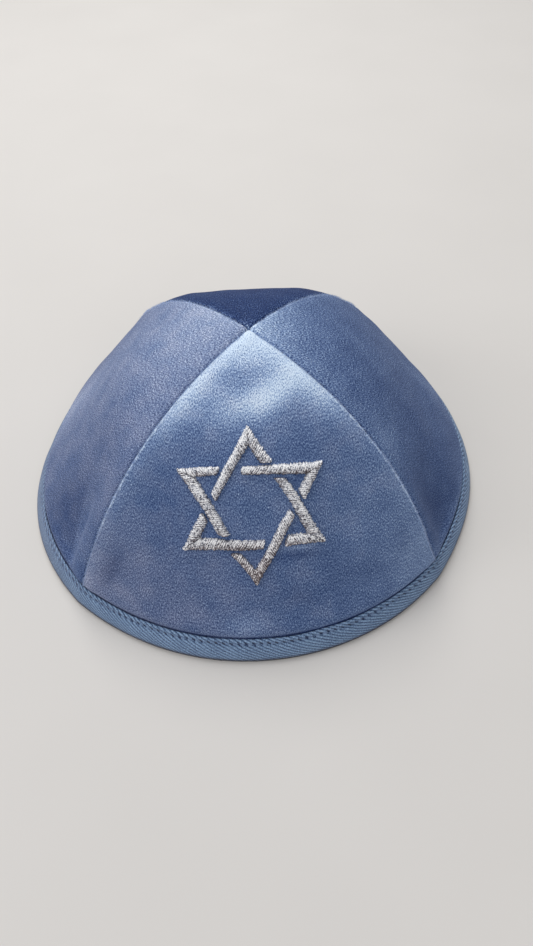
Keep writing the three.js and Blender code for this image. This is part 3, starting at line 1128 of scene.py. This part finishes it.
def make_padding(name, turn, material):
    both = bmesh.new()
    for leg in legs_of(name):
        mesh = grid_mesh(PADDING_COLUMNS, PADDING_ROWS)
        top, _ = second_layer(mesh)
        uv_of = {}
        for vert in mesh.verts[:]:
            across = lerp(0.1, 0.9, vert.co.x / PADDING_COLUMNS)
            first, last = leg.limits(across)
            along = lerp(first, last, vert.co.y / PADDING_ROWS)
            lift = bar_height(across) - 0.12 if vert in top else 0.0
            uv_of[vert] = (across * leg.width * MM, along * MM)
            vert.co = on_front(turned_on_star(leg.spot(across, along), turn), lift) * MM
        settle(mesh, uv_of)
        data = bpy.data.meshes.new("leg")
        mesh.to_mesh(data)
        mesh.free()
        both.from_mesh(data)
        bpy.data.meshes.remove(data)
    finished_piece("star_padding_" + name, "silver_thread", both, material)


def bar_threads(leg, slant, draws):
    """Each thread of a bar as its two ends across the bar and its start along it."""
    threads = []
    along = leg.first - abs(slant)
    while along < leg.last + abs(slant):
        inside = []
        for step in range(LIMIT_STEPS + 1):
            first, last = leg.limits(step / LIMIT_STEPS)
            if first <= along + slant * step / LIMIT_STEPS <= last:
                inside.append(step / LIMIT_STEPS)
        if inside and inside[-1] - inside[0] > 0.12:
            start = inside[0] + (draws.uniform(*RAGGED_END) if inside[0] < 0.02 else 0)
            end = inside[-1] - (draws.uniform(*RAGGED_END) if inside[-1] > 0.98 else 0)
            threads.append((start, end, along))
        along += THREAD_PITCH * draws.uniform(0.85, 1.15)
    return threads


def make_star_threads(name, turn, material):
    draws = random.Random("threads " + name)
    threads = []
    shades = []
    for leg, slant in zip(legs_of(name), THREAD_SLANTS):
        upward = (Matrix.Rotation(math.radians(turn), 2) @ leg.normal).y
        for number, (start, end, along) in enumerate(bar_threads(leg, slant, draws)):
            lines = []
            raised = number % 2
            high = THREAD_OVER * raised + draws.uniform(-0.05, 0.06)
            for step in range(THREAD_STEPS + 1):
                share = step / THREAD_STEPS
                across = lerp(start, end, share)
                spot = leg.spot(across, along + slant * across)
                ends = min(share, 1 - share) * 2
                lift = bar_height(min(max(across, 0), 1)) + high
                lift = lerp(0.02, lift, min(1, ends * 3.2) ** 0.5)
                lines.append(on_front(turned_on_star(spot, turn), lift))
            threads.append((lines, THREAD_RADIUS * draws.uniform(0.85, 1.12)))
            # Painted light: raised threads lighter than the sunken ones, and each bar lighter on its side that
            # faces up and darker on its side that faces down
            evenly = 0.42 + 0.34 * raised + draws.gauss(0, 0.12)
            shades.append([evenly + upward * EDGE_LIGHT * (1 - 2 * lerp(start, end, step / THREAD_STEPS))
                           for step in range(THREAD_STEPS + 1)])
    stamp = bmesh.new()
    bmesh.ops.create_cone(stamp, cap_ends=True, segments=6, radius1=1, radius2=1, depth=1)
    sides = [edge for edge in stamp.edges if abs(edge.verts[0].co.z - edge.verts[1].co.z) > 0.5]
    bmesh.ops.subdivide_edges(stamp, edges=sides, cuts=THREAD_STEPS - 1, use_grid_fill=True)

    def shape(copy, point):
        lines, thick = threads[copy]
        step = round((point.z + 0.5) * THREAD_STEPS)
        way = lines[min(step + 1, THREAD_STEPS)] - lines[max(step - 1, 0)]
        side = way.cross(STAR_NORMAL).normalized()
        up = side.cross(way).normalized()
        return lines[step] + (side * point.x + up * point.y) * thick

    def shade(copy, point):
        lowest, highest = SHADE_RANGE
        return min(max(shades[copy][round((point.z + 0.5) * THREAD_STEPS)], lowest), highest)

    mesh = stamped_mesh(stamp, len(threads), shape, shade)
    piece = finished_piece("star_stitching_" + name, "silver_thread", mesh, material)
    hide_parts("star_point_" + name)


# Making the pieces

backing = woven("cotton_backing", (28, 40, 70), (66, 84, 122))
cover_cloth = woven("cover_tape", (44, 62, 98), (96, 118, 156), pitch=0.5)
tape_cloth = twill_tape()
tape_thread = sewing_thread("tape_thread", (70, 94, 132), (128, 152, 186))
# The seam fibres are painted pale for the light that their sheen catches
pile_fibre = sewing_thread("pile_fibre", (128, 152, 198), (214, 230, 250), 0.75)
silver = silver_thread()
# The padding shows between the threads and is painted dark for the shade there
padding_felt = sewing_thread("padding_felt", (84, 84, 96), (130, 130, 140), 0.8)

for panel in PANELS.values():
    make_panel(panel, velvet(panel), backing)
    make_seam_cover(panel, cover_cloth, tape_thread)
make_crown_cover(cover_cloth)
make_seam_fibres(PANELS["front"], ("first", "second"), pile_fibre)
make_seam_fibres(PANELS["left"], ("first",), pile_fibre)
make_seam_fibres(PANELS["right"], ("second",), pile_fibre)
make_rim_tape(tape_cloth)
make_topstitching(tape_thread)
for name, turn in STAR_POINTS.items():
    make_padding(name, turn, padding_felt)
    make_star_threads(name, turn, silver)


# Floor, light and camera

def make_floor():
    mesh = bmesh.new()
    bmesh.ops.create_grid(mesh, x_segments=4, y_segments=4, size=4)
    data = bpy.data.meshes.new("floor")
    mesh.to_mesh(data)
    mesh.free()
    shader = Shader("pale_floor")
    soft = shader.speckle(shader.object_point(), 60.0)
    colour = shader.mixed(soft, screen_colour(210, 207, 203), screen_colour(215, 212, 208))
    data.materials.append(shader.finish(Base_Color=colour, Roughness=0.7, Specular_IOR_Level=0.2))
    floor = bpy.data.objects.new("floor", data)
    floor.location.z = -0.1 * MM
    bpy.context.scene.collection.objects.link(floor)


def make_light(name, place, aim, size, power, colour):
    data = bpy.data.lights.new(name, "AREA")
    data.shape = "DISK"
    data.size = size
    data.energy = power
    data.color = colour
    light = bpy.data.objects.new(name, data)
    light.location = place
    light.rotation_mode = "QUATERNION"
    light.rotation_quaternion = (Vector(aim) - Vector(place)).to_track_quat("-Z", "Y")
    bpy.context.scene.collection.objects.link(light)


def make_world(colour, strength):
    world = bpy.data.worlds.new("soft_room")
    world.use_nodes = True
    background = world.node_tree.nodes["Background"]
    background.inputs["Color"].default_value = colour
    background.inputs["Strength"].default_value = strength
    bpy.context.scene.world = world


PHOTO_HEIGHT = 946
FOCAL_PIXELS = 691.7
SENSOR = 36.0
CAMERA_PLACE = (0.00513, -0.1737, 0.2080)
CAMERA_PITCH = math.radians(51.35)
CAMERA_ROLL = math.radians(-2.48)


def make_camera():
    data = bpy.data.cameras.new("camera")
    data.sensor_fit = "AUTO"
    data.sensor_width = SENSOR
    data.lens = FOCAL_PIXELS * SENSOR / PHOTO_HEIGHT
    data.clip_start = 0.01
    forward = Vector((0, math.cos(CAMERA_PITCH), -math.sin(CAMERA_PITCH)))
    level_up = Vector((0, math.sin(CAMERA_PITCH), math.cos(CAMERA_PITCH)))
    level_right = Vector((1, 0, 0))
    right = level_right * math.cos(CAMERA_ROLL) + level_up * math.sin(CAMERA_ROLL)
    up = level_up * math.cos(CAMERA_ROLL) - level_right * math.sin(CAMERA_ROLL)
    camera = bpy.data.objects.new("camera", data)
    axes = Matrix((right, up, -forward)).transposed()
    camera.matrix_world = Matrix.Translation(CAMERA_PLACE) @ axes.to_4x4()
    bpy.context.scene.collection.objects.link(camera)
    bpy.context.scene.camera = camera


make_floor()
make_light("high_back_light", (-0.12, 0.60, 0.95), (0, 0, 0.03), 0.7, 8.0, (1.0, 0.99, 0.97))
make_light("left_light", (-0.9, -0.25, 0.7), (0, 0, 0.03), 0.7, 3.2, (0.97, 0.97, 1.0))
make_light("front_light", (0.2, -0.9, 0.9), (0, 0, 0.03), 0.8, 2.4, (1.0, 1.0, 1.0))
make_world((0.95, 0.96, 1.0, 1.0), 0.36)
make_camera()
bpy.context.scene.view_settings.view_transform = "Standard"
